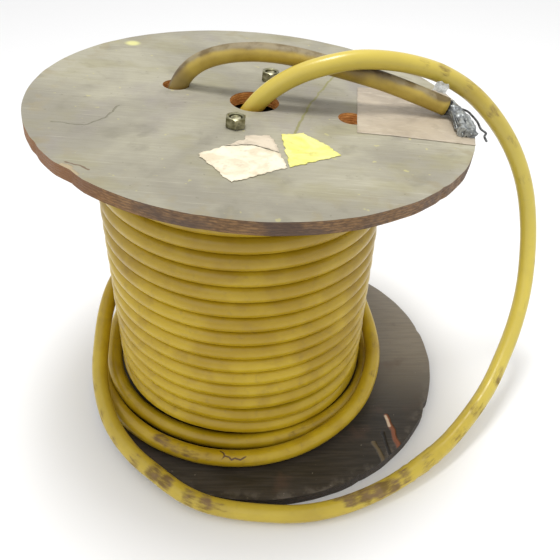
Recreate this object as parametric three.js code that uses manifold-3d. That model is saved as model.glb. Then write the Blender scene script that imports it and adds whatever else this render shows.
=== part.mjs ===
// Plywood cable reel, wound with a thick yellow cable whose two ends are free.
// Millimetres, +Z up. The reel stands on its bottom flange: the origin is the centre of that
// flange's underside. -Y is the front, where the outer end of the cable lies on the ground.
//
// The reel has been used hard. Its two tie bolts stand in one line, nearly front to back, so the
// top flange has rocked about that line, down to the right, and the drum and the cable on it have
// slipped to the left. Every level section of the drum and the winding is still a circle, with its
// centre on one sloping line.

import * as THREE from 'three';
import { mergeVertices } from 'three/addons/utils/BufferGeometryUtils.js';
import Module from 'manifold-3d';

const wasm = await Module();
wasm.setup();

// ---- Driving dimensions ---------------------------------------------------------------------

const INCH = 25.4;
const GAP = 0.3; // clearance wherever turned, bent or cut pieces meet

const FLANGE_RADIUS = 7 * INCH;
const PLY = 10; // thickness of each plywood flange
const TOP_FACE_Z = 296.7; // height of the top flange's upper face at the reel's axis
const TOP_TILT = Math.atan(0.098); // the top flange is lower on the right

const ARBOR_RADIUS = 20;
const START_HOLE = { x: -65.8, y: 21.6, radius: 11 }; // the cable's inner end comes up here
const DRIVE_HOLE = { x: 78, y: -17.5, radius: 11 };

const BOLT_RADIUS = (3 / 16) * INCH;
const BOLT_CIRCLE_RADIUS = 2 * INCH;
const BOLT_DIRECTION = THREE.MathUtils.degToRad(75.5);
const BOLT_HOLE_RADIUS = 6;
const HEAD_RADIUS = 10.3;
const HEAD_HEIGHT = 4.1;
const BOLT_CHAMFER = 1;
const BOLT_SUNK = 1; // each bolt ends this far below its nut's top
const COUNTERBORE_RADIUS = 12.7;
const COUNTERBORE_DEPTH = 5.2;
const NUT_ACROSS_FLATS = (9 / 16) * INCH;
const NUT_HEIGHT = 8.3;
// The bolts stand upright and the nuts lie on the tilted flange, so the nuts' bores are wide.
const NUT_BORE_RADIUS = BOLT_RADIUS + 0.9;

const CORE_RADIUS = 3 * INCH;
const CORE_WALL = 6;
const SLOT_CLEARANCE = 1; // round the cable where it passes through the drum's wall
const CORE_SHIFT_BOTTOM = -22.9; // sideways place of the drum's centre on the bottom flange
const CORE_SHIFT_TOP = -10.9; // and under the top flange

const CABLE_RADIUS = 7.5;
const TURN_PITCH = 15.3;
const LAYER_PITCH = 15.6;
const TURNS_PER_LAYER = 17;
const LAYERS = 3;
const OUTER_LAYER_LIFT = 20.5; // the outer layer's foot above the flange, with its lowest turn off

const SHEET = 0.3; // thickness of the labels and the tape
const SCREEN_THICKNESS = 4.5; // of the flattened screen at the cable's cut end
const SCREEN_LIFT = 2; // and its height above the flange
const WIRE_RADIUS = 0.9;
const FLAG = { length: 12, thickness: 0.4, height: 9 }; // scrap of clear tape on the cut end

// ---- Materials ------------------------------------------------------------------------------

const material = (color, roughness, metalness = 0) =>
  new THREE.MeshStandardMaterial({ color, roughness, metalness });

const wornPly = material(0xb9b2a1, 0.85);
const dirtyPly = material(0x4a4238, 0.9);
const paperboard = material(0x9a7b55, 0.9);
const zinc = material(0x9b9a88, 0.4, 0.9);
const jacket = material(0xc9ae3a, 0.45);
const grubbyJacket = material(0xa8925a, 0.6);
const foil = material(0x7d8078, 0.5, 0.5);
const tinnedWire = material(0x6b6d6b, 0.4, 0.8);
const whitePaper = material(0xe6ddc6, 0.8);
const greyPaper = material(0xc9bda8, 0.85);
const yellowPaper = material(0xe8e07a, 0.8);
const beigeTape = material(0xcbb9a0, 0.5);
const clearTape = material(0xe9ece8, 0.2);

// ---- Helpers --------------------------------------------------------------------------------

const reel = new THREE.Group();
const topFace = new THREE.Group(); // its z = 0 is the top flange's upper face
topFace.position.set(0, 0, TOP_FACE_Z);
topFace.rotation.y = TOP_TILT;
reel.add(topFace);

function add(name, geometry, look, parent = reel) {
  const mesh = new THREE.Mesh(geometry, look);
  mesh.name = name;
  parent.add(mesh);
  return mesh;
}

function toSolid(geometry) {
  const bare = geometry.clone();
  bare.deleteAttribute('normal');
  bare.deleteAttribute('uv');
  const merged = mergeVertices(bare, 1e-4);
  return new wasm.Manifold(
    new wasm.Mesh({
      numProp: 3,
      vertProperties: new Float32Array(merged.attributes.position.array),
      triVerts: new Uint32Array(merged.index.array),
    }),
  );
}

function toGeometry(solid) {
  const mesh = solid.getMesh();
  const geometry = new THREE.BufferGeometry();
  geometry.setAttribute('position', new THREE.BufferAttribute(mesh.vertProperties, 3));
  geometry.setIndex(new THREE.BufferAttribute(mesh.triVerts, 1));
  geometry.computeVertexNormals();
  return geometry;
}

function cut(geometry, ...tools) {
  let solid = toSolid(geometry);
  for (const tool of tools) solid = solid.subtract(toSolid(tool));
  return toGeometry(solid);
}

function uprightCylinder(radius, bottom, top, x = 0, y = 0, sides = 32) {
  const geometry = new THREE.CylinderGeometry(radius, radius, top - bottom, sides);
  geometry.rotateX(Math.PI / 2);
  return geometry.translate(x, y, (bottom + top) / 2);
}

function circleHole(x, y, radius) {
  return new THREE.Path().absarc(x, y, radius, 0, 2 * Math.PI, true);
}

function disc(radius, holes) {
  const outline = new THREE.Shape().absarc(0, 0, radius, 0, 2 * Math.PI, false);
  outline.holes = holes;
  return new THREE.ExtrudeGeometry(outline, { depth: PLY, bevelEnabled: false, curveSegments: 48 });
}

// A ring between two heights and two radii, about the vertical axis.
function ring(innerRadius, outerRadius, bottom, top, sides = 48) {
  const section = [
    [innerRadius, bottom],
    [outerRadius, bottom],
    [outerRadius, top],
    [innerRadius, top],
    [innerRadius, bottom],
  ].map(([radius, height]) => new THREE.Vector2(radius, height));
  return new THREE.LatheGeometry(section, sides).rotateX(Math.PI / 2);
}

// Sideways place of the drum's centre line at height z.
function coreShift(z) {
  const fraction = (z - PLY) / (TOP_FACE_Z - 2 * PLY);
  return CORE_SHIFT_BOTTOM + (CORE_SHIFT_TOP - CORE_SHIFT_BOTTOM) * fraction;
}

// Slides each level section of a geometry sideways on to the drum's sloping centre line.
function followCore(geometry) {
  const position = geometry.attributes.position;
  for (let i = 0; i < position.count; i += 1) {
    position.setX(i, position.getX(i) + coreShift(position.getZ(i)));
  }
  geometry.computeVertexNormals();
  return geometry;
}

function tube(points, radius, steps, sides = 10) {
  const path = new THREE.CatmullRomCurve3(points.map(([x, y, z]) => new THREE.Vector3(x, y, z)));
  path.curveType = 'centripetal';
  const section = new THREE.Shape();
  for (let i = 0; i < sides; i += 1) {
    const angle = (i / sides) * 2 * Math.PI;
    const corner = [radius * Math.cos(angle), radius * Math.sin(angle)];
    if (i === 0) section.moveTo(...corner);
    else section.lineTo(...corner);
  }
  return new THREE.ExtrudeGeometry(section, { steps, extrudePath: path });
}

// A flat sheet on the top flange's upper face, cut to the outline.
function sheet(outline, lift = GAP, thickness = SHEET) {
  const shape = new THREE.Shape(outline.map(([x, y]) => new THREE.Vector2(x, y)));
  const geometry = new THREE.ExtrudeGeometry(shape, { depth: thickness, bevelEnabled: false });
  return geometry.translate(0, 0, lift);
}

// ---- Flanges --------------------------------------------------------------------------------

const boltX = BOLT_CIRCLE_RADIUS * Math.cos(BOLT_DIRECTION);
const boltY = BOLT_CIRCLE_RADIUS * Math.sin(BOLT_DIRECTION);
const boltPlaces = [
  { name: 'back', x: boltX, y: boltY },
  { name: 'front', x: -boltX, y: -boltY },
];

function addFlanges() {
  const arborHole = () => circleHole(0, 0, ARBOR_RADIUS);
  const boltHoles = () => boltPlaces.map(({ x, y }) => circleHole(x, y, BOLT_HOLE_RADIUS));

  // Pockets in the underside sink the bolt heads, so that the reel stands flat.
  const bottomDisc = disc(FLANGE_RADIUS, [arborHole(), ...boltHoles()]);
  const pocket = ({ x, y }) => uprightCylinder(COUNTERBORE_RADIUS, -1, COUNTERBORE_DEPTH, x, y);
  add('bottom_flange', cut(bottomDisc, ...boltPlaces.map(pocket)), dirtyPly);

  const cableHoles = [START_HOLE, DRIVE_HOLE].map(({ x, y, radius }) => circleHole(x, y, radius));
  const topDisc = disc(FLANGE_RADIUS, [arborHole(), ...boltHoles(), ...cableHoles]);
  add('top_flange', topDisc.translate(0, 0, -PLY), wornPly, topFace);
}

// ---- Drum -----------------------------------------------------------------------------------

// The cable's inner end: out through a slot in the drum, up through the start hole and over the
// top flange in an arch, to where its jacket has been cut. The first three points are in the slot.
const innerTailSlot = [
  [-83, -48, 240.3],
  [-85.6, -31, 243.2],
  [-84.2, -14.5, 248.8],
];
const innerTailRoute = [
  [-80.6, -0.2, 256.2],
  [-77, 10.6, 265.4],
  [-72.8, 17.6, 277],
  [-68.4, 21, 290],
  [-63.3, 21.9, 302.7],
  [-56, 21.4, 313],
  [-46.4, 20.4, 320.8],
  [-35.2, 19.2, 326],
  [-22.5, 17.9, 329.4],
  [-8, 16.6, 331.1],
  [8, 15.4, 331.2],
  [29, 13.6, 328.9],
  [60, 11, 321.7],
  [101, 7.5, 310.5],
  [118, 6, 304.7],
  [134, 4.7, 298.6],
  [146, 3.7, 293.8],
  [156.5, 2.8, 289.6],
];

function addCore() {
  const blank = followCore(ring(CORE_RADIUS - CORE_WALL, CORE_RADIUS, PLY, TOP_FACE_Z + PLY));
  const flangeSpace = new THREE.BoxGeometry(3 * FLANGE_RADIUS, 3 * FLANGE_RADIUS, 4 * PLY);
  flangeSpace.translate(0, 0, PLY - GAP);
  flangeSpace.rotateY(TOP_TILT).translate(0, 0, TOP_FACE_Z);
  const slotRoute = [...innerTailSlot, ...innerTailRoute.slice(0, 5)];
  const slot = tube(slotRoute, CABLE_RADIUS + SLOT_CLEARANCE, 20);
  add('core_tube', cut(blank, flangeSpace, slot), paperboard);
}

// ---- Tie bolts and nuts ---------------------------------------------------------------------

// Height above the ground of the top flange's upper face over the point x.
const topFaceHeight = (x) => TOP_FACE_Z - x * Math.tan(TOP_TILT);

// A domed head in the bottom flange's pocket and a plain shank up through both flanges.
function addBolt({ name, x, y }) {
  const headTop = COUNTERBORE_DEPTH - GAP;
  const shankTop = topFaceHeight(x) + NUT_HEIGHT - BOLT_SUNK;
  const domeSteps = 5;
  const profile = [];
  for (let i = 0; i <= domeSteps; i += 1) {
    const angle = (i / domeSteps) * (Math.PI / 2);
    profile.push([HEAD_RADIUS * Math.sin(angle), headTop - HEAD_HEIGHT * Math.cos(angle)]);
  }
  profile.push([BOLT_RADIUS, headTop]);
  profile.push([BOLT_RADIUS, shankTop - BOLT_CHAMFER]);
  profile.push([BOLT_RADIUS - BOLT_CHAMFER, shankTop]);
  profile.push([0, shankTop]);
  const points = profile.map(([radius, height]) => new THREE.Vector2(radius, height));
  const bolt = new THREE.LatheGeometry(points, 24).rotateX(Math.PI / 2);
  add(`tie_bolt_${name}`, bolt.translate(x, y, 0), zinc);
}

function addNut({ name, x, y }) {
  const hexagon = new THREE.Shape();
  const cornerRadius = NUT_ACROSS_FLATS / Math.sqrt(3);
  for (let i = 0; i < 6; i += 1) {
    const angle = (i * Math.PI) / 3;
    const point = [cornerRadius * Math.cos(angle), cornerRadius * Math.sin(angle)];
    if (i === 0) hexagon.moveTo(...point);
    else hexagon.lineTo(...point);
  }
  hexagon.holes = [circleHole(0, 0, NUT_BORE_RADIUS)];
  const nut = new THREE.ExtrudeGeometry(hexagon, { depth: NUT_HEIGHT, bevelEnabled: false });
  // The bolt is upright, so the nut's bore is centred where it meets the bolt half way up.
  const halfWayUp = (NUT_HEIGHT / 2) * Math.sin(TOP_TILT);
  add(`nut_${name}`, nut.translate(x / Math.cos(TOP_TILT) - halfWayUp, y, GAP), zinc, topFace);
}

// ---- Winding --------------------------------------------------------------------------------

function addWinding() {
  const top = PLY + TURNS_PER_LAYER * TURN_PITCH;
  for (let layer = 0; layer < LAYERS; layer += 1) {
    const inner = CORE_RADIUS + GAP + layer * LAYER_PITCH;
    const outer = inner + LAYER_PITCH - GAP;
    const bottom = layer === LAYERS - 1 ? PLY + OUTER_LAYER_LIFT : PLY;
    add(`winding_layer_${layer + 1}`, followCore(ring(inner, outer, bottom, top)), jacket);
  }
}

// The cable's last two turns have come off the winding. Each point is [direction in degrees,
// radius, height], about the drum's sloping centre line.
// The loose turn leaves the outer layer at the back, comes down against it on the left, and lies
// on the bottom flange in front and on the right, and on round the back.
const looseTurnRoute = [
  [75, 131.2, 34.5],
  [81, 131.2, 35.5],
  [95, 131.2, 38.5],
  [114, 131.2, 44],
  [132, 131.2, 49.5],
  [146, 131.2, 53],
  [158, 131.2, 54],
  [168, 131.2, 52.2],
  [178, 131.4, 47.5],
  [188, 131.6, 39.5],
  [198, 131.3, 30.4],
  [207, 128.6, 23],
  [215, 125.8, 19.4],
  [224, 122.9, 18],
  [239.6, 120.2, 17.8],
  [255.8, 119.6, 17.8],
  [271.4, 120.5, 17.8],
  [289, 122.5, 17.8],
  [308, 125.6, 17.8],
  [322, 128.4, 17.8],
  [338, 130.5, 17.8],
  [360, 131, 17.8],
  [390, 131.2, 17.8],
  [420, 131.2, 17.8],
  [450, 131.2, 17.8],
  [480, 132, 17.8],
  [497, 133.8, 17.8],
  [499.6, 134.15, 17.8],
];

// The last turn goes round outside it on the flange on the left and in front, and climbs round
// the right and the back to where the free end begins.
const lastTurnRoute = [
  [500, 134.2, 17.8],
  [502.6, 134.6, 17.8],
  [515, 136.8, 17.8],
  [530, 139.8, 17.8],
  [545, 142.3, 17.8],
  [560, 143.2, 17.8],
  [573, 142, 17.8],
  [586, 140.2, 17.8],
  [600, 139.2, 17.8],
  [618, 139.2, 17.8],
  [635, 139.8, 17.9],
  [650, 140.2, 18.6],
  [662, 140.6, 20.8],
  [674, 141.2, 24.2],
  [684, 141, 27],
  [692, 139.9, 29.5],
  [702, 138.4, 32],
  [711, 137.2, 34.5],
  [719, 135.4, 38.6],
  [730, 132.3, 48.5],
  [745, 131.2, 60],
  [770, 131.2, 73],
  [800, 131.2, 87],
  [828, 131.2, 98.5],
  [848, 131.2, 104],
  [863, 131.2, 106.4],
  [872, 131.2, 106.4],
  [879, 131.2, 104.9],
  [885.1, 131, 101.3],
];

function aroundCore([degrees, radius, z]) {
  const angle = THREE.MathUtils.degToRad(degrees);
  return [coreShift(z) + radius * Math.cos(angle), radius * Math.sin(angle), z];
}

// ---- Free cable -----------------------------------------------------------------------------

// The outer end: down off the winding on the left, over the rim, along the ground in front, and
// round to the right in one big loop that comes back over the top flange into the arbor hole.
const outerTailRoute = [
  [-145.6, 32.7, 100.3],
  [-152, 14, 92.3],
  [-157, -6, 79],
  [-159, -30, 62.5],
  [-158, -56, 47],
  [-151.5, -81, 35],
  [-139.5, -106, 25.5],
  [-118.5, -132, 19.3],
  [-92, -155.5, 17.9],
  [-64, -174.5, 14],
  [-35, -184, 10],
  [25, -190, 8.2],
  [55, -187, 8.6],
  [84, -178.5, 9.7],
  [114, -165, 12],
  [142, -148, 15.5],
  [169, -128, 20.5],
  [194, -104, 28.5],
  [217, -78, 40],
  [235, -52, 56],
  [250, -27, 76],
  [260, -4, 101],
  [262.5, 13, 131],
  [259, 24, 164],
  [249, 29, 199.5],
  [232.5, 31, 233.5],
  [210.5, 30, 264],
  [183.5, 26, 291],
  [154, 19, 310.5],
  [126, 12, 321.5],
  [101, 5.5, 327.5],
  [79.5, 0.5, 329.5],
  [58.5, -4, 327.5],
  [38, -6, 322],
  [21.5, -6.5, 314],
  [6.5, -6, 302.5],
  [-9, -5.5, 284],
  [-21, -7, 261.5],
  [-28.5, -10, 238],
  [-31.5, -12.5, 217],
];

function addCable() {
  add('winding_loose_turn', tube(looseTurnRoute.map(aroundCore), CABLE_RADIUS, 64), jacket);
  add('winding_last_turn', tube(lastTurnRoute.map(aroundCore), CABLE_RADIUS, 64), jacket);
  add('outer_tail', tube(outerTailRoute, CABLE_RADIUS, 60, 12), jacket);
  add('inner_tail', tube(innerTailRoute, CABLE_RADIUS, 24, 12), grubbyJacket);
}

// ---- Cut end of the cable, lying on the right of the top flange -------------------------------

function addCutEnd() {
  // The flattened screen and fillers, fanned out over the rim.
  const fan = [
    [158.3, 9],
    [164, 11],
    [170, 6],
    [173.5, -7],
    [173, -24],
    [172, -38],
    [166, -36],
    [160.5, -35],
    [159, -20],
    [158.3, -5],
  ];
  add('screen_bundle', sheet(fan, SCREEN_LIFT, SCREEN_THICKNESS), foil, topFace);

  const strand = [
    [175.6, 5, 5],
    [177.6, -3, 5],
    [179.6, -14, 4.5],
    [179.6, -27, 4],
    [182.2, -32.5, 3.5],
    [179.8, -37.5, 3],
    [179.6, -45, 2.5],
  ];
  add('drain_wire', tube(strand, WIRE_RADIUS, 14, 6), tinnedWire, topFace);

  // A scrap of clear tape stands up from the jacket's cut end, leaning back along the cable.
  const flag = new THREE.BoxGeometry(FLAG.length, FLAG.thickness, FLAG.height);
  flag.rotateY(THREE.MathUtils.degToRad(15)).translate(149, 3.4, 23.8);
  add('tape_flag', flag, clearTape, topFace);
}

// ---- Labels and tape on the top flange --------------------------------------------------------

function addLabels() {
  const whiteLabel = [
    [-37, -98],
    [-20, -84],
    [0, -79],
    [20, -88],
    [25, -108],
    [-12, -134],
  ];
  const greyLabel = [
    [-19, -82.5],
    [-6, -70.5],
    [-5.4, -64],
    [13, -60.6],
    [18.6, -78],
    [19.6, -86.5],
    [0, -77.5],
  ];
  const yellowLabel = [
    [21, -57.5],
    [37.6, -52.7],
    [54.6, -69.6],
    [64, -84],
    [26.8, -107.5],
  ];
  add('white_label', sheet(whiteLabel), whitePaper, topFace);
  add('grey_label', sheet(greyLabel), greyPaper, topFace);
  add('yellow_label', sheet(yellowLabel), yellowPaper, topFace);

  // A wide strip of packing tape, which runs from beside the arbor hole to the rim.
  const tape = [
    [79.5, -43.5],
    [112, -44.5],
    [170.5, -49.5],
    [176.5, -20],
    [177, 16],
    [167, 60],
    [140, 57],
    [89, 48.5],
  ];
  add('packing_tape', sheet(tape), beigeTape, topFace);
}

// ---- Assembly ---------------------------------------------------------------------------------

addFlanges();
addCore();
boltPlaces.forEach(addBolt);
boltPlaces.forEach(addNut);
addWinding();
addCable();
addCutEnd();
addLabels();

export default reel;
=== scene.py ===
# The looks of a used plywood cable reel, wound with thick yellow cable.
# Metres, in the frame of the CAD model: +Z is up, -Y is the front, and the reel stands on z = 0.

import math

import bmesh
import bpy
from mathutils import Matrix, Vector, noise
from mathutils.geometry import delaunay_2d_cdt


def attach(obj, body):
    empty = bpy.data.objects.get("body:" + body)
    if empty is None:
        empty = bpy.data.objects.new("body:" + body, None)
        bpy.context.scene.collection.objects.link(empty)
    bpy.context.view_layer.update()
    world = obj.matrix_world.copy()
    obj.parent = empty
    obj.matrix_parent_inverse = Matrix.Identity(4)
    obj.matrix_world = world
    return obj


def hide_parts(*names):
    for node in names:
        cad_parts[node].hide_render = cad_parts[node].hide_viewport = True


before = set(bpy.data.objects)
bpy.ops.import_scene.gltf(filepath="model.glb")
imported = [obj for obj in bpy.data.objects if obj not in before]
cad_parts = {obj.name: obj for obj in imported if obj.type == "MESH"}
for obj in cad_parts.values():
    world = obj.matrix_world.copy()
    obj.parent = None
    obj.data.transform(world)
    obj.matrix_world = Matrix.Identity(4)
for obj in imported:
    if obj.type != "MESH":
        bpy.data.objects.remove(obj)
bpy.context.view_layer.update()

# ---- Driving dimensions, the same as the CAD model's ----

INCH = 0.0254
FLANGE_RADIUS = 7 * INCH
PLY = 0.010
VENEERS = 5
TOP_FACE_Z = 0.2967
TOP_TILT = math.atan(0.098)

ARBOR_RADIUS = 0.020
START_HOLE = (-0.0658, 0.0216, 0.011)
DRIVE_HOLE = (0.078, -0.0175, 0.011)

BOLT_RADIUS = 3 / 16 * INCH
BOLT_CIRCLE_RADIUS = 2 * INCH
BOLT_DIRECTION = math.radians(75.5)
BOLT_HOLE_RADIUS = 0.006
HEAD_RADIUS = 0.0103
HEAD_HEIGHT = 0.0041
COUNTERBORE_RADIUS = 0.0127
COUNTERBORE_DEPTH = 0.0052
NUT_ACROSS_FLATS = 9 / 16 * INCH
NUT_HEIGHT = 0.0083
THREAD_PITCH = INCH / 16
THREAD_DEPTH = 0.0006
THREAD_LENGTH = 0.026
CHAMFER = math.radians(32)

CORE_SHIFT_BOTTOM = -0.0229
CORE_SHIFT_TOP = -0.0109

CABLE_RADIUS = 0.0075
CORE_RADIUS = 0.0064
SCREEN_RADIUS = 0.0066
STRAND_RADIUS = 0.0006
WIRE_RADIUS = 0.0009
LAYER_RADII = (0.08415, 0.09975, 0.11535)
FREE_LINE_STEP = 0.004
LOWEST_TURN = 0.01765
HIGHEST_TURN = 0.26245
TURN_PITCH = 0.0153
OUTER_TURNS = 15  # of the outermost layer; the second one has nearly one more
FIRST_LAYER_TURNS = 14.5
FIRST_LAYER_TOP = 0.2395
STEP_OUT = 60.0  # degrees over which the cable steps out to the next layer
OUTER_LAYER_LEAN = 0.005  # the outer layer's turns are this much higher on the left than in front

GAP = 0.0003

# The frame of the top flange's upper face, and that of the bottom flange's.
TOP_FACE = Matrix.Translation((0, 0, TOP_FACE_Z)) @ Matrix.Rotation(TOP_TILT, 4, "Y")
BOTTOM_FACE = Matrix.Translation((0, 0, PLY))

# ---- Camera ----


def add_camera():
    """The camera of the photograph, in front of the reel and above it."""
    stand = (0.0191, -0.5015, 0.5055)
    elevation = math.radians(38.04)
    roll = math.radians(-0.59)
    back = Vector((0, -math.cos(elevation), math.sin(elevation)))
    level_up = Vector((0, math.sin(elevation), math.cos(elevation)))
    level_right = Vector((1, 0, 0))
    right = math.cos(roll) * level_right + math.sin(roll) * level_up
    up = -math.sin(roll) * level_right + math.cos(roll) * level_up
    data = bpy.data.cameras.new("camera")
    data.lens = 41.585
    data.sensor_width = 36
    camera = bpy.data.objects.new("camera", data)
    turn = Matrix((right, up, back)).transposed().to_4x4()
    camera.matrix_world = Matrix.Translation(stand) @ turn
    bpy.context.scene.collection.objects.link(camera)
    bpy.context.scene.camera = camera


# ---- Lines and tubes ----


def smooth_line(points, step, before=None, after=None):
    """The centripetal Catmull-Rom curve through the points, as points about step apart.

    If it is part of a longer curve, before and after are that curve's points next to its ends.
    """
    knots = [Vector(point) for point in points]
    if before is None:
        before = 2 * knots[0] - knots[1]
    if after is None:
        after = 2 * knots[-1] - knots[-2]
    knots = [Vector(before), *knots, Vector(after)]
    line = []
    for a, b, c, d in zip(knots, knots[1:], knots[2:], knots[3:]):
        t1 = math.sqrt((b - a).length)
        t2 = t1 + math.sqrt((c - b).length)
        t3 = t2 + math.sqrt((d - c).length)
        pieces = max(2, round((c - b).length / step))
        for i in range(pieces):
            t = t1 + (t2 - t1) * i / pieces
            ab = a.lerp(b, t / t1)
            bc = b.lerp(c, (t - t1) / (t2 - t1))
            cd = c.lerp(d, (t - t2) / (t3 - t2))
            abc = ab.lerp(bc, t / t2)
            bcd = bc.lerp(cd, (t - t1) / (t3 - t1))
            line.append(abc.lerp(bcd, (t - t1) / (t2 - t1)))
    line.append(knots[-2])
    return line


def new_piece(name, vertices, faces, material, smooth=True):
    mesh = bpy.data.meshes.new(name)
    mesh.from_pydata([tuple(v) for v in vertices], [], faces)
    mesh.materials.append(material)
    if smooth:
        mesh.shade_smooth()
    else:
        mesh.shade_flat()
    piece = bpy.data.objects.new(name, mesh)
    bpy.context.scene.collection.objects.link(piece)
    return piece


def ring_faces(rows, sides):
    """The faces between neighbouring rings of vertices, as corners of (ring, place on it)."""
    faces = []
    for i in range(rows - 1):
        for k in range(sides):
            following = (k + 1) % sides
            faces.append([(i, k), (i, following), (i + 1, following), (i + 1, k)])
    return faces


def stand_for(piece, node):
    """The piece shows the CAD model's node, if one is given."""
    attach(piece, "root")
    if node:
        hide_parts(node)


def tube(name, line, material, radius, sides=20, shape=None, before=None, after=None):
    """A closed tube along the line. Its UV map runs once round, and along in metres.

    shape(part of the way along, direction round it) may change the radius. If the line is part of
    a longer one, before and after are that line's points next to its ends.
    """
    track = [before or line[0], *line, after or line[-1]]
    rings = []
    along = [0.0]
    for a, b in zip(line, line[1:]):
        along.append(along[-1] + (b - a).length)
    tangent = (line[1] - line[0]).normalized()
    side = tangent.cross(Vector((0, 0, 1))).normalized()
    for i, centre in enumerate(line):
        ahead = track[i + 2] - track[i]
        turn = tangent.rotation_difference(ahead.normalized())
        tangent = ahead.normalized()
        side = (turn @ side).normalized()
        over = side.cross(tangent)
        ring = []
        for k in range(sides):
            angle = 2 * math.pi * k / sides
            reach = radius
            if shape is not None:
                reach *= shape(along[i] / along[-1], angle)
            ring.append(centre + reach * (math.cos(angle) * side + math.sin(angle) * over))
        rings.append(ring)
    faces = []
    spots = []
    for corners in ring_faces(len(rings), sides):
        faces.append([row * sides + k for row, k in corners])
        first = corners[0][1]
        turns = [first, first + 1, first + 1, first]
        spots += [(turn / sides, along[row]) for turn, (row, k) in zip(turns, corners)]
    last = (len(rings) - 1) * sides
    faces.append(list(range(sides))[::-1])
    faces.append([last + k for k in range(sides)])
    spots += [(0.0, 0.0)] * sides + [(0.0, along[-1])] * sides
    vertices = [vertex for ring in rings for vertex in ring]
    piece = new_piece(name, vertices, faces, material)
    for end_face in piece.data.polygons[-2:]:
        end_face.use_smooth = False
    uv = piece.data.uv_layers.new(name="along")
    uv.data.foreach_set("uv", [value for spot in spots for value in spot])
    return piece


def soil_and_shadow(piece, spots):
    """Writes how much dirt and painted shadow each vertex has, from spots of (x, y, z, reach, amount)."""
    dirt = piece.data.attributes.new("soil_and_shadow", "FLOAT", "POINT")
    for vertex in piece.data.vertices:
        place = piece.matrix_world @ vertex.co
        most = 0.0
        for x, y, z, reach, amount in spots:
            distance = (place - Vector((x, y, z))).length
            if distance < reach:
                closeness = 1 - distance / reach
                most = max(most, amount * min(1.0, 1.6 * closeness))
        dirt.data[vertex.index].value = most


# ---- Building materials ----


def rgb(code):
    """A linear colour from an sRGB code such as c9b040."""
    channels = [int(code[i : i + 2], 16) / 255 for i in (0, 2, 4)]
    linear = [c / 12.92 if c <= 0.04045 else ((c + 0.055) / 1.055) ** 2.4 for c in channels]
    return (*linear, 1.0)


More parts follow.
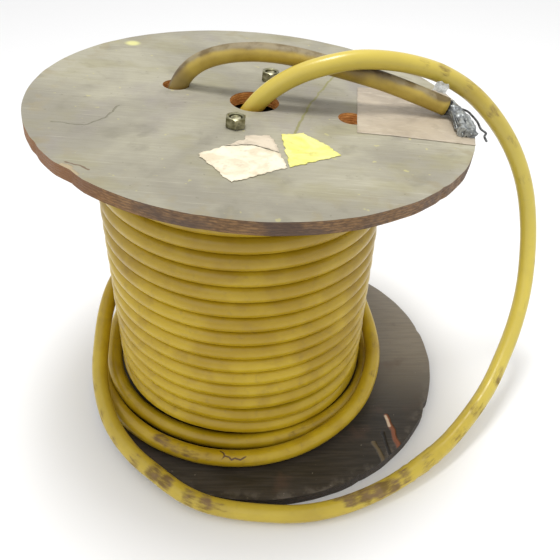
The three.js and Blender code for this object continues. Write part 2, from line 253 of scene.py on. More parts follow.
class Surface:
    """A Principled material, with short calls for the nodes that vary over the surface."""

    def __init__(self, name, roughness=0.5, metallic=0.0):
        self.material = bpy.data.materials.new(name)
        self.material.use_nodes = True
        self.tree = self.material.node_tree
        self.shader = self.tree.nodes["Principled BSDF"]
        self.shader.inputs["Roughness"].default_value = roughness
        self.shader.inputs["Metallic"].default_value = metallic
        self.place = self.node("ShaderNodeTexCoord").outputs["Object"]

    def node(self, kind, inputs=None, **settings):
        node = self.tree.nodes.new(kind)
        for name, value in settings.items():
            setattr(node, name, value)
        for socket, value in (inputs or {}).items():
            if isinstance(value, bpy.types.NodeSocket):
                self.tree.links.new(value, node.inputs[socket])
            else:
                node.inputs[socket].default_value = value
        return node

    def math(self, operation, a, b=0.0):
        return self.node("ShaderNodeMath", {0: a, 1: b}, operation=operation).outputs[0]

    def times(self, a, b):
        return self.math("MULTIPLY", a, b)

    def vector(self, operation, a, b):
        node = self.node("ShaderNodeVectorMath", {0: a, 1: b}, operation=operation)
        return node.outputs["Value" if operation in ("DOT_PRODUCT", "DISTANCE") else "Vector"]

    def stretched(self, scale, turn=0.0, place=None):
        inputs = {"Vector": place or self.place, "Scale": scale, "Rotation": (0, 0, turn)}
        return self.node("ShaderNodeMapping", inputs).outputs["Vector"]

    def noise(self, scale, detail=4.0, place=None, roughness=0.55, distortion=0.0):
        inputs = {
            "Vector": place or self.place,
            "Scale": scale,
            "Detail": detail,
            "Roughness": roughness,
            "Distortion": distortion,
        }
        return self.node("ShaderNodeTexNoise", inputs).outputs["Fac"]

    def between(self, value, low, high, start=0.0, end=1.0):
        """start where the value is low, end where it is high, and smooth in between."""
        inputs = {"Value": value, "From Min": low, "From Max": high, "To Min": start, "To Max": end}
        node = self.node("ShaderNodeMapRange", inputs, interpolation_type="SMOOTHSTEP")
        return node.outputs["Result"]

    def mix(self, amount, a, b):
        node = self.node("ShaderNodeMix", data_type="RGBA")
        sockets = [s for s in node.inputs if s.enabled]
        for socket, value in zip(sockets, (amount, a, b)):
            if isinstance(value, bpy.types.NodeSocket):
                self.tree.links.new(value, socket)
            else:
                socket.default_value = value
        return [s for s in node.outputs if s.enabled][0]

    def tint(self, colour, mask, strength, code):
        """The colour, mixed by that strength with the code's colour where the mask is 1."""
        return self.mix(self.times(mask, strength), colour, rgb(code))

    def blend(self, value, low, high, first, second):
        """The first code's colour where the value is low, and the second's where it is high."""
        return self.mix(self.between(value, low, high), rgb(first), rgb(second))

    def attribute(self, name):
        return self.node("ShaderNodeAttribute", attribute_name=name).outputs["Fac"]

    def round_and_along(self, stretch):
        """A place on a tube that joins up all the way round, and stretch per metre along it."""
        spot = self.node("ShaderNodeUVMap", uv_map="along").outputs["UV"]
        angle = self.times(self.axis(spot, "X"), 2 * math.pi)
        parts = {
            "X": self.math("COSINE", angle),
            "Y": self.math("SINE", angle),
            "Z": self.times(self.axis(spot, "Y"), stretch),
        }
        return self.node("ShaderNodeCombineXYZ", parts).outputs["Vector"]

    def axis(self, vector, name):
        return self.node("ShaderNodeSeparateXYZ", {"Vector": vector}).outputs[name]

    def from_axis(self):
        """How far the place is from the piece's vertical axis."""
        flat_place = self.vector("MULTIPLY", self.place, (1.0, 1.0, 0.0))
        return self.vector("DISTANCE", flat_place, (0.0, 0.0, 0.0))

    def spot(self, centre, near, far):
        """1 within near of the centre, and 0 further than far from it."""
        return self.between(self.vector("DISTANCE", self.place, centre), near, far, 1.0, 0.0)

    def stroke(self, start, end, width, wobble=0.0):
        """1 on the line from start to end, and 0 further than its width from it."""
        place = self.place
        if wobble:
            bend = self.node("ShaderNodeTexNoise", {"Vector": place, "Scale": 90.0, "Detail": 2.0})
            centred = self.vector("SUBTRACT", bend.outputs["Color"], (0.5, 0.5, 0.5))
            moved = self.vector("MULTIPLY", centred, (wobble, wobble, 0.0))
            place = self.vector("ADD", place, moved)
        run = Vector(end) - Vector(start)
        offset = self.vector("SUBTRACT", place, start)
        part = self.vector("DOT_PRODUCT", offset, run / run.length_squared)
        clamped = self.node("ShaderNodeClamp", {"Value": part}).outputs["Result"]
        foot = self.node("ShaderNodeVectorMath", {0: tuple(run), 3: clamped}, operation="SCALE")
        distance = self.vector("DISTANCE", offset, foot.outputs["Vector"])
        return self.between(distance, width * 0.35, width, 1.0, 0.0)

    def strokes(self, points, width, wobble=0.0):
        """The same along a line through several points."""
        drawn = 0.0
        for start, end in zip(points, points[1:]):
            drawn = self.math("MAXIMUM", drawn, self.stroke(start, end, width, wobble))
        return drawn

    def paint(self, colour):
        self.tree.links.new(colour, self.shader.inputs["Base Color"])

    def shine(self, roughness):
        self.tree.links.new(roughness, self.shader.inputs["Roughness"])

    def relief(self, height, depth, strength=1.0):
        bump = self.node("ShaderNodeBump", {"Height": height, "Distance": depth, "Strength": strength})
        self.tree.links.new(bump.outputs["Normal"], self.shader.inputs["Normal"])


# ---- Materials: plywood ----


def wood_edge(surface, light, dark):
    """Colour and height of the layered edge of plywood, which shows on the rim and in the holes."""
    height = surface.axis(surface.place, "Z")
    ragged = surface.noise(160.0, 3.0)
    waved = surface.math("ADD", height, surface.times(ragged, 0.0012))
    phase = surface.times(waved, 2 * math.pi * VENEERS / PLY)
    ply = surface.between(surface.math("SINE", phase), -0.3, 0.5)
    fibres = surface.noise(1.0, 4.0, surface.stretched((240.0, 240.0, 900.0)))
    grain = surface.mix(surface.between(fibres, 0.35, 0.65), rgb(dark), rgb(light))
    stripes = surface.mix(surface.times(ply, 0.5), grain, rgb(dark))
    return stripes, surface.math("ADD", surface.times(ply, 0.6), fibres)


def flange_masks(surface):
    """Where the surface is an edge rather than a face, and how far out it is."""
    normal = surface.node("ShaderNodeTexCoord").outputs["Normal"]
    steep = surface.math("ABSOLUTE", surface.axis(normal, "Z"))
    edge = surface.between(steep, 0.5, 0.85, 1.0, 0.0)
    return edge, surface.from_axis()


def worn_plywood():
    s = Surface("worn_plywood", 0.62)
    edge, out = flange_masks(s)

    broad = s.noise(9.0, 5.0, distortion=0.6)
    middle = s.noise(34.0, 5.0, distortion=0.4)
    colour = s.blend(broad, 0.36, 0.64, "918c7c", "aea993")
    olive = s.between(s.noise(15.0, 4.0, s.stretched((1.0, 1.6, 1.0), 0.5)), 0.50, 0.66)
    colour = s.tint(colour, olive, 0.40, "938c60")
    purple = s.between(s.noise(11.0, 4.0, s.stretched((1.3, 0.8, 1.0), -0.6)), 0.52, 0.68)
    colour = s.tint(colour, purple, 0.45, "8b8384")
    blotch = s.between(middle, 0.56, 0.72)
    colour = s.tint(colour, blotch, 0.5, "7b7767")

    grain = s.noise(1.0, 5.0, s.stretched((26.0, 420.0, 26.0), 0.35))
    colour = s.mix(s.between(grain, 0.38, 0.62, 0.0, 0.16), colour, rgb("76705d"))
    scratches = s.between(s.noise(1.0, 2.0, s.stretched((14.0, 700.0, 14.0), -0.42)), 0.66, 0.72)
    colour = s.tint(colour, scratches, 0.45, "ccc6b0")
    flecks = s.between(s.noise(210.0, 2.0), 0.69, 0.74)
    colour = s.tint(colour, flecks, 0.55, "6f6a55")
    yellow_flecks = s.between(s.noise(120.0, 2.0, s.stretched((1.0, 1.0, 1.0), 1.1)), 0.68, 0.74)
    colour = s.tint(colour, yellow_flecks, 0.4, "cfc77a")

    # The left and the middle are painted darker than the right: painted shade.
    shaded = s.between(s.axis(s.place, "X"), 0.0, 0.13, 0.22, 0.0)
    colour = s.mix(shaded, colour, rgb("625e50"))

    # Grime and small broken places near the rim.
    outer = s.between(out, 0.80 * FLANGE_RADIUS, FLANGE_RADIUS)
    rough_rim = s.between(s.noise(60.0, 4.0), 0.50, 0.66)
    colour = s.mix(s.times(s.times(outer, rough_rim), 0.55), colour, rgb("8d8264"))

    # A drip of yellow, a long thin line and the cracks at the left.
    drip = s.spot((-0.117, 0.113, 0.0), 0.003, 0.009)
    colour = s.tint(colour, drip, 0.7, "dcd98a")
    line = s.math(
        "MAXIMUM",
        s.stroke((0.070, 0.073, 0.0), (0.045, 0.003, 0.0), 0.0012, 0.004),
        s.stroke((0.045, 0.003, 0.0), (0.027, -0.070, 0.0), 0.0015, 0.004),
    )
    colour = s.tint(colour, line, 0.75, "7d7a3a")
    crack_line = [(-0.144, -0.066, 0.0), (-0.120, -0.067, 0.0), (-0.109, -0.053, 0.0), (-0.103, -0.028, 0.0)]
    cracks = s.strokes(crack_line, 0.0008, 0.006)
    colour = s.tint(colour, cracks, 0.5, "5d5a3c")

    # A flake broken off the upper ply at the left rim.
    flake = s.stroke((-0.121, -0.127, 0.0), (-0.110, -0.137, 0.0), 0.0032, 0.009)
    colour = s.tint(colour, flake, 0.7, "a8936e")
    flake_line = s.stroke((-0.120, -0.123, 0.0), (-0.104, -0.130, 0.0), 0.0011, 0.006)
    colour = s.mix(flake_line, colour, rgb("6a5740"))

    # The rim is brown and stained, and the walls of the holes are raw wood.
    stripes, layers = wood_edge(s, "8f6c43", "5f452b")
    stain = s.between(s.noise(22.0, 4.0), 0.46, 0.62)
    rim = s.tint(stripes, stain, 0.75, "4a3a33")
    left = s.between(s.axis(s.place, "X"), -0.13, -0.06, 0.55, 0.0)
    rim = s.mix(left, rim, rgb("a06a35"))
    raw, _ = wood_edge(s, "f0ae60", "c67c38")
    edges = s.mix(s.between(out, 0.15, 0.16), raw, rim)
    s.paint(s.mix(edge, colour, edges))
    s.shine(s.between(middle, 0.3, 0.7, 0.52, 0.75))

    dents = s.math("ADD", s.times(grain, 0.5), s.times(middle, 0.6))
    dents = s.math("SUBTRACT", dents, s.times(cracks, 1.5))
    dents = s.math("SUBTRACT", dents, s.times(flake, 1.2))
    height = s.node("ShaderNodeMix", {0: edge, 2: dents, 3: layers}).outputs[0]
    s.relief(height, 0.0012, 0.55)
    return s.material


def dirty_plywood():
    s = Surface("dirty_plywood", 0.6)
    edge, out = flange_masks(s)
    broad = s.noise(10.0, 5.0, distortion=0.5)
    x_place = s.between(s.axis(s.place, "X"), 0.02, 0.17)
    back = s.between(s.axis(s.place, "Y"), -0.10, 0.02)
    dusty = s.times(s.times(x_place, back), 0.9)
    colour = s.blend(broad, 0.35, 0.65, "28231b", "373027")
    colour = s.mix(dusty, colour, rgb("948a79"))
    grain = s.noise(1.0, 5.0, s.stretched((26.0, 380.0, 26.0), 1.35))
    colour = s.mix(s.between(grain, 0.4, 0.62, 0.0, 0.22), colour, rgb("5b5148"))
    rust = s.between(s.noise(24.0, 4.0), 0.56, 0.7)
    colour = s.tint(colour, rust, 0.4, "5d4436")
    flecks = s.between(s.noise(230.0, 2.0), 0.70, 0.75)
    colour = s.tint(colour, flecks, 0.6, "8f8578")
    edge_wear = s.times(s.between(out, 0.165, 0.178), s.between(s.noise(70.0), 0.45, 0.6))
    colour = s.tint(colour, edge_wear, 0.35, "837a6e")

    # Gouges that show the wood, with dark lines beside them.
    wide = s.stroke((0.122, -0.085, 0.0), (0.128, -0.123, 0.0), 0.0032, 0.004)
    narrow = s.stroke((0.106, -0.118, 0.0), (0.113, -0.139, 0.0), 0.0028, 0.005)
    dark = s.stroke((0.115, -0.105, 0.0), (0.119, -0.132, 0.0), 0.0022, 0.005)
    bright_core = s.stroke((0.121, -0.086, 0.0), (0.123, -0.098, 0.0), 0.002, 0.002)
    colour = s.mix(wide, colour, rgb("8a5236"))
    colour = s.mix(bright_core, colour, rgb("d9c0a4"))
    colour = s.tint(colour, narrow, 0.8, "6f5f43")
    colour = s.mix(dark, colour, rgb("1c1714"))

    stripes, layers = wood_edge(s, "4a3e33", "261f1a")
    s.paint(s.mix(edge, colour, stripes))
    s.shine(s.between(broad, 0.3, 0.7, 0.42, 0.66))
    gouges = s.math("MAXIMUM", wide, s.math("MAXIMUM", narrow, dark))
    dents = s.math("ADD", s.times(grain, 0.7), broad)
    dents = s.math("SUBTRACT", dents, s.times(gouges, 2.0))
    height = s.node("ShaderNodeMix", {0: edge, 2: dents, 3: layers}).outputs[0]
    s.relief(height, 0.0012, 0.5)
    return s.material


def paperboard():
    s = Surface("paperboard", 0.85)
    fibres = s.noise(300.0, 4.0)
    wound = s.noise(1.0, 3.0, s.stretched((20.0, 20.0, 160.0)))
    colour = s.blend(wound, 0.4, 0.6, "8b6c48", "a4835b")
    s.paint(s.mix(s.between(fibres, 0.4, 0.7, 0.0, 0.4), colour, rgb("6e5436")))
    s.relief(fibres, 0.0004, 0.5)
    return s.material


# ---- Materials: cable ----


def cable_jacket():
    s = Surface("cable_jacket", 0.42)
    broad = s.noise(16.0, 4.0)
    colour = s.blend(broad, 0.36, 0.64, "a98a0c", "bfa220")
    dull = s.between(s.noise(45.0, 4.0), 0.52, 0.70)
    colour = s.tint(colour, dull, 0.45, "9c7d22")
    grime = s.between(s.noise(120.0, 5.0, distortion=0.6), 0.57, 0.72)
    colour = s.tint(colour, grime, 0.25, "7d6732")
    # The turns high under the top flange are painted darker: painted shade from the flange above them.
    high = s.between(s.axis(s.place, "Z"), 0.14, 0.25, 0.0, 0.35)
    colour = s.mix(high, colour, rgb("8a6c18"))
    # The free loop is painted paler where it stands clear of the reel, on the right and high up: a painted
    # highlight and reflection of the white surroundings.
    right = s.between(s.axis(s.place, "X"), 0.13, 0.24, 0.0, 0.55)
    above = s.between(s.axis(s.place, "Z"), 0.275, 0.31, 0.0, 0.45)
    clear = s.between(s.from_axis(), 0.155, 0.175, 0.0, 0.25)
    painted_highlight = s.math("MAXIMUM", clear, s.math("MAXIMUM", right, above))
    colour = s.mix(painted_highlight, colour, rgb("e0d268"))

    # Dirt in streaks along the cable, where it has been dragged.
    soiled_and_shaded = s.attribute("soil_and_shadow")
    patchy = s.noise(2.0, 8.0, s.round_and_along(32.0), roughness=0.66)
    threshold = s.math("SUBTRACT", 1.0, soiled_and_shaded)
    amount = s.between(s.math("SUBTRACT", patchy, s.times(threshold, 0.55)), 0.16, 0.52)
    amount = s.times(amount, s.between(soiled_and_shaded, 0.02, 0.5))
    brown = s.blend(s.noise(60.0, 3.0), 0.4, 0.6, "5f4420", "705543")
    colour = s.mix(s.times(amount, 0.85), colour, brown)

    # A jagged crack in the last turn's jacket, in front, with a short branch.
    crack_line = [
        (-0.038, -0.132, 0.026), (-0.036, -0.137, 0.0255), (-0.033, -0.139, 0.025),
        (-0.032, -0.142, 0.025), (-0.028, -0.143, 0.024), (-0.026, -0.145, 0.023),
        (-0.023, -0.144, 0.024), (-0.018, -0.145, 0.023), (-0.013, -0.143, 0.025),
    ]
    branch = [(-0.032, -0.142, 0.025), (-0.035, -0.144, 0.022)]
    crack = s.math("MAXIMUM", s.strokes(crack_line, 0.0011, 0.0012), s.stroke(*branch, 0.0011, 0.0012))
    colour = s.tint(colour, crack, 0.9, "4a2c18")
    s.paint(colour)
    uneven = s.noise(85.0, 6.0, distortion=0.5)
    s.shine(s.between(s.math("ADD", uneven, amount), 0.4, 1.2, 0.28, 0.70))
    fine = s.noise(420.0, 3.0)
    height = s.math("ADD", s.times(fine, 0.25), s.times(uneven, 0.6))
    height = s.math("SUBTRACT", height, s.times(crack, 1.5))
    s.relief(s.math("SUBTRACT", height, s.times(amount, 0.4)), 0.0005, 0.5)
    return s.material


def grubby_jacket():
    s = Surface("grubby_jacket", 0.5)
    along = s.noise(30.0, 5.0, distortion=0.5)
    colour = s.blend(along, 0.35, 0.65, "a08632", "b39a40")
    # Grime lies along the top of the cable; its underside has stayed yellow.
    normal = s.node("ShaderNodeTexCoord").outputs["Normal"]
    upward = s.math("ADD", s.axis(normal, "Z"), s.times(s.axis(normal, "Y"), 0.8))
    ragged = s.math("ADD", upward, s.times(s.noise(50.0, 5.0), 1.1))
    top = s.between(ragged, 0.15, 0.85)
    grime = s.blend(s.noise(70.0, 4.0), 0.4, 0.62, "7c725e", "4c3d2b")
    colour = s.mix(s.times(top, 0.82), colour, grime)
    # Dirt, and painted shadow where the outer end crosses above the inner end, darken it.
    soiled_and_shaded = s.attribute("soil_and_shadow")
    colour = s.tint(colour, soiled_and_shaded, 0.8, "4b3c33")
    s.paint(colour)
    s.shine(s.between(top, 0.0, 1.0, 0.4, 0.62))
    s.relief(s.noise(110.0, 6.0), 0.0006, 0.5)
    return s.material


def cable_core():
    s = Surface("cable_core", 0.7)
    fibres = s.noise(260.0, 4.0)
    s.paint(s.blend(fibres, 0.4, 0.6, "141314", "3a3838"))
    s.relief(fibres, 0.0008, 0.8)
    return s.material


def cable_screen():
    s = Surface("cable_screen", 0.38, 0.55)
    folds = s.noise(140.0, 5.0, distortion=1.4)
    streaks = s.noise(1.0, 4.0, s.stretched((500.0, 60.0, 300.0), 0.15))
    colour = s.blend(folds, 0.38, 0.62, "75787a", "aeb2b0")
    s.paint(s.mix(s.between(streaks, 0.5, 0.62, 0.0, 0.5), colour, rgb("444646")))
    s.relief(s.math("ADD", folds, streaks), 0.0011, 0.8)
    return s.material


def tinned_wire():
    s = Surface("tinned_wire", 0.42, 0.7)
    tone = s.noise(300.0, 4.0)
    s.paint(s.blend(tone, 0.4, 0.6, "2e2f30", "6d6f70"))
    s.relief(tone, 0.0004, 0.6)
    return s.material


# ---- Materials: hardware, labels and tape ----


def zinc():
    s = Surface("zinc", 0.34, 0.9)
    tarnish = s.noise(190.0, 5.0)
    colour = s.blend(tarnish, 0.35, 0.65, "716e52", "b3af92")
    dull = s.between(s.noise(90.0, 4.0), 0.55, 0.7)
    s.paint(s.tint(colour, dull, 0.7, "34301f"))
    s.shine(s.between(tarnish, 0.3, 0.7, 0.26, 0.55))
    s.relief(s.noise(700.0, 3.0), 0.0002, 0.5)
    return s.material


def paper(name, light, dark, dirt):
    s = Surface(name, 0.72)
    s.shader.inputs["Specular IOR Level"].default_value = 0.3
    creases = s.noise(42.0, 5.0, distortion=1.2)
    fibres = s.noise(380.0, 3.0)
    colour = s.mix(s.between(creases, 0.36, 0.62), rgb(dark), rgb(light))
    marks = s.between(s.noise(75.0, 5.0), 0.58, 0.72)
    colour = s.mix(s.times(marks, 0.5), colour, rgb(dirt))
    s.paint(s.mix(s.between(fibres, 0.55, 0.75, 0.0, 0.3), colour, rgb(dirt)))
    s.relief(s.math("ADD", creases, s.times(fibres, 0.2)), 0.0016, 0.5)
    return s.material


def beige_tape():
    s = Surface("beige_tape", 0.42)
    cloud = s.noise(18.0, 5.0, distortion=0.8)
    colour = s.blend(cloud, 0.36, 0.64, "a09380", "b5a893")
    wrinkles = s.noise(1.0, 4.0, s.stretched((60.0, 210.0, 60.0), -0.2), distortion=1.0)
    colour = s.mix(s.between(wrinkles, 0.5, 0.7, 0.0, 0.5), colour, rgb("c6bba6"))
    spots = s.between(s.noise(60.0, 4.0), 0.58, 0.7)
    colour = s.tint(colour, spots, 0.4, "8d826e")
    s.paint(colour)
    s.relief(s.math("ADD", wrinkles, cloud), 0.0012, 0.45)
    return s.material


def clear_tape():
    s = Surface("clear_tape", 0.18)
    s.shader.inputs["Alpha"].default_value = 0.6
    folds = s.noise(220.0, 4.0, distortion=1.0)
    s.paint(s.blend(folds, 0.4, 0.6, "e9ecea", "b9bdbb"))
    s.relief(folds, 0.001, 0.7)
    return s.material


def pale_floor():
    s = Surface("pale_floor", 0.9)
    s.shader.inputs["Base Color"].default_value = (0.92, 0.92, 0.92, 1.0)
    return s.material


# ---- Flanges ----


def circle(x, y, radius, count):
    angles = [2 * math.pi * i / count for i in range(count)]
    return [(x + radius * math.cos(a), y + radius * math.sin(a)) for a in angles]


def inside(point, outline):
    """Whether the point is inside the closed outline."""
    x, y = point
    hit = False
    for (x0, y0), (x1, y1) in zip(outline, outline[1:] + outline[:1]):
        if (y0 > y) != (y1 > y) and x < x0 + (x1 - x0) * (y - y0) / (y1 - y0):
            hit = not hit
    return hit


def patch(outline, holes=(), spacing=0.004):
    """Vertices and triangles of a flat sheet with holes, with points inside it at that spacing."""
    loops = [outline, *holes]
    points = [Vector(point) for loop in loops for point in loop]
    rims = []
    first = 0
    for loop in loops:
        rims += [(first + i, first + (i + 1) % len(loop)) for i in range(len(loop))]
        first += len(loop)
    xs = [x for x, y in outline]
    ys = [y for x, y in outline]
    for i in range(int((max(xs) - min(xs)) / spacing)):
        for j in range(int((max(ys) - min(ys)) / spacing)):
            shift = spacing / 2 if j % 2 else 0.0
            points.append(Vector((min(xs) + spacing * (i + 0.4) + shift, min(ys) + spacing * (j + 0.5))))
    vertices, _, faces, *_ = delaunay_2d_cdt(points, rims, [], 0, 1e-7)
    kept = []
    for face in faces:
        middle = sum((vertices[i] for i in face), Vector((0, 0))) / len(face)
        if inside(middle, outline) and not any(inside(middle, hole) for hole in holes):
            kept.append(list(face))
    used = sorted({i for face in kept for i in face})
    place = {old: new for new, old in enumerate(used)}
    flat = [(vertices[i].x, vertices[i].y, 0.0) for i in used]
    return flat, [[place[i] for i in face] for face in kept]


def bolt_places():
    x = BOLT_CIRCLE_RADIUS * math.cos(BOLT_DIRECTION)
    y = BOLT_CIRCLE_RADIUS * math.sin(BOLT_DIRECTION)
    return {"back": (x, y), "front": (-x, -y)}


def plywood_disc(name, face, holes, material, chips):
    """A plywood disc under its face, with a worn rim. chips are (degrees, half-width, depth)."""
    rim = []
    count = 300
    for i in range(count):
        angle = 2 * math.pi * i / count
        wear = 0.0005 * noise.noise(Vector((9 * math.cos(angle), 9 * math.sin(angle), 0.0)))
        radius = FLANGE_RADIUS - 0.0004 + wear
        for middle, half, depth in chips:
            away = abs((math.degrees(angle) - middle + 180) % 360 - 180)
            if away < half:
                radius -= depth * (1 - away / half)
        rim.append((radius * math.cos(angle), radius * math.sin(angle)))
    outline = [circle(x, y, radius, 40) for x, y, radius in holes]
    vertices, faces = patch(rim, outline, 0.02)
    piece = new_piece(name, vertices, faces, material, smooth=False)
    shell = bmesh.new()
    shell.from_mesh(piece.data)
    lower = bmesh.ops.extrude_face_region(shell, geom=shell.faces[:])
    moved = [g for g in lower["geom"] if isinstance(g, bmesh.types.BMVert)]
    bmesh.ops.translate(shell, verts=moved, vec=(0, 0, -PLY))
    bmesh.ops.recalc_face_normals(shell, faces=shell.faces[:])
    shell.to_mesh(piece.data)
    shell.free()
    piece.matrix_world = face
    bevel = piece.modifiers.new("worn_edges", "BEVEL")
    bevel.width = 0.0007
    bevel.segments = 2
    bevel.limit_method = "ANGLE"
    bevel.angle_limit = math.radians(50)
    return piece


def add_flanges(worn, dirty):
    bolt_holes = [(x, y, BOLT_HOLE_RADIUS) for x, y in bolt_places().values()]
    arbor = (0.0, 0.0, ARBOR_RADIUS)
    chips = [(229.0, 5.0, 0.0022), (214.0, 2.5, 0.0010), (262.0, 3.0, 0.0008), (318.0, 2.0, 0.0008)]
    holes = [arbor, *bolt_holes, START_HOLE, DRIVE_HOLE]
    top = plywood_disc("top_plywood", TOP_FACE, holes, worn, chips)
    stand_for(top, "top_flange")

    chips = [(336.0, 2.5, 0.0020), (300.0, 2.0, 0.0008), (12.0, 2.0, 0.0010)]
    bottom = plywood_disc("bottom_plywood", BOTTOM_FACE, [arbor, *bolt_holes], dirty, chips)
    for x, y in bolt_places().values():
        cut_pocket(bottom, x, y)
    stand_for(bottom, "bottom_flange")


def cut_pocket(flange, x, y):
    """Cuts the round pocket for a bolt's head into the bottom flange's underside."""
    bm = bmesh.new()
    depth = 2 * COUNTERBORE_DEPTH
    bmesh.ops.create_cone(
        bm,
        cap_ends=True,
        segments=48,
        radius1=COUNTERBORE_RADIUS,
        radius2=COUNTERBORE_RADIUS,
        depth=depth,
        matrix=Matrix.Translation((x, y, 0.0)),
    )
    mesh = bpy.data.meshes.new("pocket")
    bm.to_mesh(mesh)
    bm.free()
    tool = bpy.data.objects.new("pocket", mesh)
    bpy.context.scene.collection.objects.link(tool)
    cut = flange.modifiers.new("pocket", "BOOLEAN")
    cut.operation = "DIFFERENCE"
    cut.solver = "EXACT"
    cut.object = tool
    apply_modifiers(flange)
    bpy.data.objects.remove(tool)


def apply_modifiers(piece):
    bpy.context.view_layer.update()
    ready = piece.evaluated_get(bpy.context.evaluated_depsgraph_get())
    mesh = bpy.data.meshes.new_from_object(ready)
    piece.modifiers.clear()
    piece.data = mesh


# ---- Tie bolts and nuts ----


def lathe(rings, sides):
    """Vertices and faces of an open turned shape, from its rings' heights and radii.

    A height or a radius may be a function of the direction.
    """
    vertices = []
    for height, radius in rings:
        for k in range(sides):
            angle = 2 * math.pi * k / sides
            z = height(angle) if callable(height) else height
            reach = radius(angle) if callable(radius) else radius
            vertices.append((reach * math.cos(angle), reach * math.sin(angle), z))
    faces = [[row * sides + k for row, k in corners] for corners in ring_faces(len(rings), sides)]
    return vertices, faces


def thread_radius(z, narrowing):
    """The thread's radius at that height, as a function of the direction."""

    def radius(angle):
        turn = (z / THREAD_PITCH - angle / (2 * math.pi)) % 1.0
        return BOLT_RADIUS + narrowing - THREAD_DEPTH * (1 - abs(2 * turn - 1))

    return radius


def add_bolt(place, x, y, metal):
    """A carriage bolt: a domed head in the bottom flange, and a thread at its upper end."""
    sides = 36
    centre = 0.0002
    head_top = COUNTERBORE_DEPTH - GAP
    top = TOP_FACE_Z - x * math.tan(TOP_TILT) + NUT_HEIGHT - 0.001
    rings = []
    for i in range(9):
        angle = i / 8 * math.pi / 2
        rings.append((head_top - HEAD_HEIGHT * math.cos(angle), max(HEAD_RADIUS * math.sin(angle), centre)))
    rings.append((head_top, BOLT_RADIUS))
    rings.append((top - THREAD_LENGTH, BOLT_RADIUS))
    steps = int(THREAD_LENGTH / THREAD_PITCH * 8)
    for i in range(1, steps + 1):
        z = top - THREAD_LENGTH + THREAD_LENGTH * i / steps
        rings.append((z, thread_radius(z, min(0.0, top - z - 0.001))))
    rings.append((top, centre))
    vertices, faces = lathe(rings, sides)
    last = len(vertices) - sides
    faces.append([last + k for k in range(sides)])
    faces.append(list(range(sides))[::-1])
    bolt = new_piece(f"carriage_bolt_{place}", vertices, faces, metal)
    bolt.location = (x, y, 0.0)
    bolt.data.set_sharp_from_angle(angle=math.radians(35))
    stand_for(bolt, f"tie_bolt_{place}")


def add_nut(place, x, y, metal):
    """A hexagon nut with chamfered corners and a countersunk bore."""
    sides = 72
    flat = NUT_ACROSS_FLATS / 2
    bore = BOLT_RADIUS + GAP
    washer_face = flat * 0.94

    def hexagon(angle):
        return flat / math.cos((angle + math.pi / 6) % (math.pi / 3) - math.pi / 6)

    def lower_edge(angle):
        return 0.0003 + (hexagon(angle) - flat) * math.tan(CHAMFER)

    def upper_edge(angle):
        return NUT_HEIGHT - lower_edge(angle)

    rings = [
        (0.001, bore),
        (0.0, bore + 0.001),
        (0.0, washer_face),
        (lower_edge, hexagon),
        (upper_edge, hexagon),
        (NUT_HEIGHT, washer_face),
        (NUT_HEIGHT, bore + 0.001),
        (NUT_HEIGHT - 0.001, bore),
    ]
    vertices, faces = lathe(rings, sides)
    last = len(vertices) - sides
    for k in range(sides):
        following = (k + 1) % sides
        faces.append([last + k, last + following, following, k])
    nut = new_piece(f"hex_nut_{place}", vertices, faces, metal)
    nut.data.set_sharp_from_angle(angle=math.radians(25))
    half_way_up = NUT_HEIGHT / 2 * math.sin(TOP_TILT)
    spot = Matrix.Translation((x / math.cos(TOP_TILT) - half_way_up, y, GAP))
    nut.matrix_world = TOP_FACE @ spot
    stand_for(nut, f"nut_{place}")


# ---- Winding ----


def around_core(degrees, radius, z):
    """The point in that direction, at that radius and height, about the drum's sloping centre."""
    rise = (z - PLY) / (TOP_FACE_Z - 2 * PLY)
    centre = CORE_SHIFT_BOTTOM + (CORE_SHIFT_TOP - CORE_SHIFT_BOTTOM) * rise
    angle = math.radians(degrees)
    return Vector((centre + radius * math.cos(angle), radius * math.sin(angle), z))


def layer_line(start, end, z_start, z_end, radius, radius_before=None, lean=0.0, sags=()):
    """The helix of one layer of turns, which steps out from the layer before at its start.

    The turns may lean down to the right. Each sag is (direction, number of last turns, drop).
    """
    line = []
    count = round((end - start) / 4)
    for i in range(count + 1):
        degrees = start + (end - start) * i / count
        reach = radius
        if radius_before is not None and degrees - start < STEP_OUT:
            part = (degrees - start) / STEP_OUT
            reach = radius_before + (radius - radius_before) * (3 - 2 * part) * part * part
        z = z_start + (z_end - z_start) * i / count
        z -= lean * min(1.0, (degrees - start) / STEP_OUT) * math.cos(math.radians(degrees))
        for direction, turns, drop in sags:
            if end - degrees < turns * 360 - 60:
                away = abs((degrees - direction + 180) % 360 - 180)
                z -= drop * math.cos(math.radians(min(90.0, 1.4 * away)))
        uneven = noise.noise(Vector((degrees / 40, z_start * 30, radius * 100)))
        line.append(around_core(degrees, reach + 0.0003 * uneven, z + 0.0002 * uneven))
    return line


# The cable runs down along this line from the start hole to the first layer.
inner_link = [
    (-0.0806, -0.0002, 0.2562), (-0.0842, -0.0145, 0.2488), (-0.0856, -0.031, 0.2432),
    (-0.083, -0.048, 0.2403),
]

# Directions, in degrees, at which the cable enters and leaves each layer.
LAYER_1_START = 226.0
LAYER_1_END = LAYER_1_START + FIRST_LAYER_TURNS * 360
LAYER_3_START = 25.0
LAYER_3_END = LAYER_3_START + OUTER_TURNS * 360
SAGS = [(318.0, 2, 0.0042), (205.0, 1, 0.0030)]

